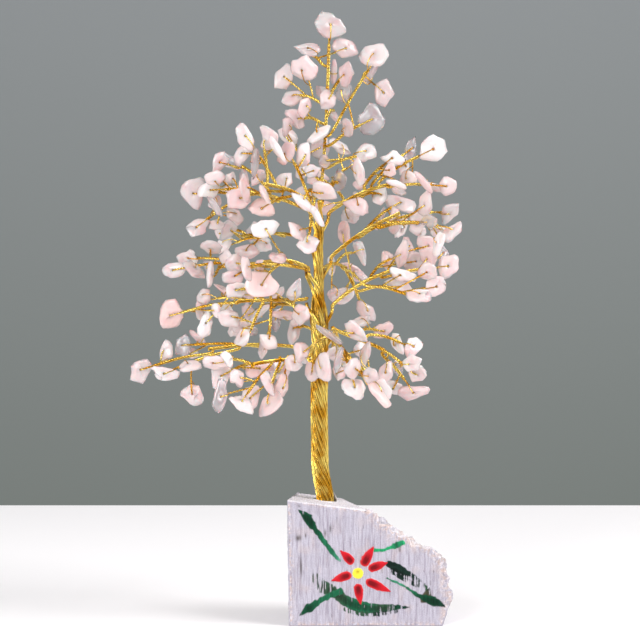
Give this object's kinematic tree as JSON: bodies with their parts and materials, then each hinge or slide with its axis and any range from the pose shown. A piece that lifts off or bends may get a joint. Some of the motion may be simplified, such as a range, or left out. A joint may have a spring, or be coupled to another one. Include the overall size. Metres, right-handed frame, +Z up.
{
  "type": "gemstone tree ornament",
  "caption": "Free-standing tree ornament of drilled pink quartz chips on twisted gold wire branches that swing by hand, its wire trunk glued into a painted stone block.",
  "frame": {"origin": "on the flat underside of the stone base, straight below the trunk", "axes": "+Z up along the trunk, +Y to the back, +X to the right as seen from the painted front"},
  "size_m": [0.1199, 0.0787, 0.2173],
  "materials": {
    "quartz": "tumbled and polished rose quartz",
    "gold_wire": "bright drawn wire, twisted",
    "stone": "sawn stone under a thin pale wash with a hand-painted flower",
    "glue": "clear set glue"
  },
  "bodies": {
    "trunk_and_base": {"base_block": "stone", "leader_chips": "quartz", "leader_core": "gold_wire", "leader_wire": "gold_wire", "left_back_strand": "gold_wire", "left_side_strand": "gold_wire", "low_back_left_strand": "gold_wire", "low_back_strand": "gold_wire", "low_front_left_strand": "gold_wire", "low_front_right_strand": "gold_wire", "low_left_strand": "gold_wire", "low_right_strand": "gold_wire", "mid_back_strand": "gold_wire", "mid_front_left_strand": "gold_wire", "mid_left_strand": "gold_wire", "mid_right_strand": "gold_wire", "right_side_strand": "gold_wire", "socket_glue": "glue", "up_back_strand": "gold_wire", "up_front_left_strand": "gold_wire", "up_front_strand": "gold_wire", "up_left_strand": "gold_wire", "up_right_strand": "gold_wire"},
    "low_front_left": {"low_front_left_wire": "gold_wire", "low_front_left_chips": "quartz"},
    "low_back_left": {"low_back_left_wire": "gold_wire", "low_back_left_chips": "quartz"},
    "mid_right": {"mid_right_wire": "gold_wire", "mid_right_chips": "quartz"},
    "mid_back": {"mid_back_wire": "gold_wire", "mid_back_chips": "quartz"},
    "left_side": {"left_side_wire": "gold_wire", "left_side_chips": "quartz"},
    "low_front_right": {"low_front_right_wire": "gold_wire", "low_front_right_chips": "quartz"},
    "mid_left": {"mid_left_wire": "gold_wire", "mid_left_chips": "quartz"},
    "low_right": {"low_right_wire": "gold_wire", "low_right_chips": "quartz"},
    "mid_front_left": {"mid_front_left_wire": "gold_wire", "mid_front_left_chips": "quartz"},
    "right_side": {"right_side_wire": "gold_wire", "right_side_chips": "quartz"},
    "low_back": {"low_back_wire": "gold_wire", "low_back_chips": "quartz"},
    "low_left": {"low_left_wire": "gold_wire", "low_left_chips": "quartz"},
    "up_left": {"up_left_wire": "gold_wire", "up_left_chips": "quartz"},
    "up_front_left": {"up_front_left_wire": "gold_wire", "up_front_left_chips": "quartz"},
    "up_front": {"up_front_wire": "gold_wire", "up_front_chips": "quartz"},
    "up_right": {"up_right_wire": "gold_wire", "up_right_chips": "quartz"},
    "left_back": {"left_back_wire": "gold_wire", "left_back_chips": "quartz"},
    "up_back": {"up_back_wire": "gold_wire", "up_back_chips": "quartz"}
  },
  "joints": [
    {"name": "low_front_left_swing", "type": "hinge", "parent": "trunk_and_base", "child": "low_front_left", "pos_m": [-0.00341, -0.00336, 0.09356], "axis": [0, 0, 1], "range_deg": [-12, 12]},
    {"name": "low_back_left_swing", "type": "hinge", "parent": "trunk_and_base", "child": "low_back_left", "pos_m": [-0.00315, 0.00359, 0.10965], "axis": [0, 0, 1], "range_deg": [-12, 12]},
    {"name": "mid_right_swing", "type": "hinge", "parent": "trunk_and_base", "child": "mid_right", "pos_m": [0.00401, 0.0006, 0.12914], "axis": [0, 0, 1], "range_deg": [-4, 3]},
    {"name": "mid_back_swing", "type": "hinge", "parent": "trunk_and_base", "child": "mid_back", "pos_m": [0.00111, 0.00438, 0.12504], "axis": [0, 0, 1], "range_deg": [-12, 12]},
    {"name": "left_side_swing", "type": "hinge", "parent": "trunk_and_base", "child": "left_side", "pos_m": [-0.00489, -0.0006, 0.11381], "axis": [0, 0, 1], "range_deg": [-8, 4]},
    {"name": "low_front_right_swing", "type": "hinge", "parent": "trunk_and_base", "child": "low_front_right", "pos_m": [0.00199, -0.00423, 0.10386], "axis": [0, 0, 1], "range_deg": [-10, 7]},
    {"name": "mid_left_swing", "type": "hinge", "parent": "trunk_and_base", "child": "mid_left", "pos_m": [-0.00496, 0.00149, 0.1248], "axis": [0, 0, 1], "range_deg": [-4, 12]},
    {"name": "low_right_swing", "type": "hinge", "parent": "trunk_and_base", "child": "low_right", "pos_m": [0.00467, 0, 0.10325], "axis": [0, 0, 1], "range_deg": [-8, 12]},
    {"name": "mid_front_left_swing", "type": "hinge", "parent": "trunk_and_base", "child": "mid_front_left", "pos_m": [-0.00407, -0.00305, 0.12488], "axis": [0, 0, 1], "range_deg": [-12, 12]},
    {"name": "right_side_swing", "type": "hinge", "parent": "trunk_and_base", "child": "right_side", "pos_m": [0.00446, -0.00051, 0.11173], "axis": [0, 0, 1], "range_deg": [-3, 5]},
    {"name": "low_back_swing", "type": "hinge", "parent": "trunk_and_base", "child": "low_back", "pos_m": [-0.00014, 0.00468, 0.10305], "axis": [0, 0, 1], "range_deg": [-12, 12]},
    {"name": "low_left_swing", "type": "hinge", "parent": "trunk_and_base", "child": "low_left", "pos_m": [-0.00479, 0.00022, 0.09593], "axis": [0, 0, 1], "range_deg": [-12, 8]},
    {"name": "up_left_swing", "type": "hinge", "parent": "trunk_and_base", "child": "up_left", "pos_m": [-0.00346, 0, 0.14542], "axis": [0, 0, 1], "range_deg": [-12, 12]},
    {"name": "up_front_left_swing", "type": "hinge", "parent": "trunk_and_base", "child": "up_front_left", "pos_m": [-0.00246, -0.00227, 0.14753], "axis": [0, 0, 1], "range_deg": [-12, 11]},
    {"name": "up_front_swing", "type": "hinge", "parent": "trunk_and_base", "child": "up_front", "pos_m": [-0.00045, -0.00325, 0.15054], "axis": [0, 0, 1], "range_deg": [-12, 12]},
    {"name": "up_right_swing", "type": "hinge", "parent": "trunk_and_base", "child": "up_right", "pos_m": [0.00311, 0.00025, 0.14487], "axis": [0, 0, 1], "range_deg": [-10, 4]},
    {"name": "left_back_swing", "type": "hinge", "parent": "trunk_and_base", "child": "left_back", "pos_m": [-0.00306, 0.00221, 0.13545], "axis": [0, 0, 1], "range_deg": [-12, 8]},
    {"name": "up_back_swing", "type": "hinge", "parent": "trunk_and_base", "child": "up_back", "pos_m": [0.00092, 0.00321, 0.15097], "axis": [0, 0, 1], "range_deg": [-12, 12]}
  ]
}
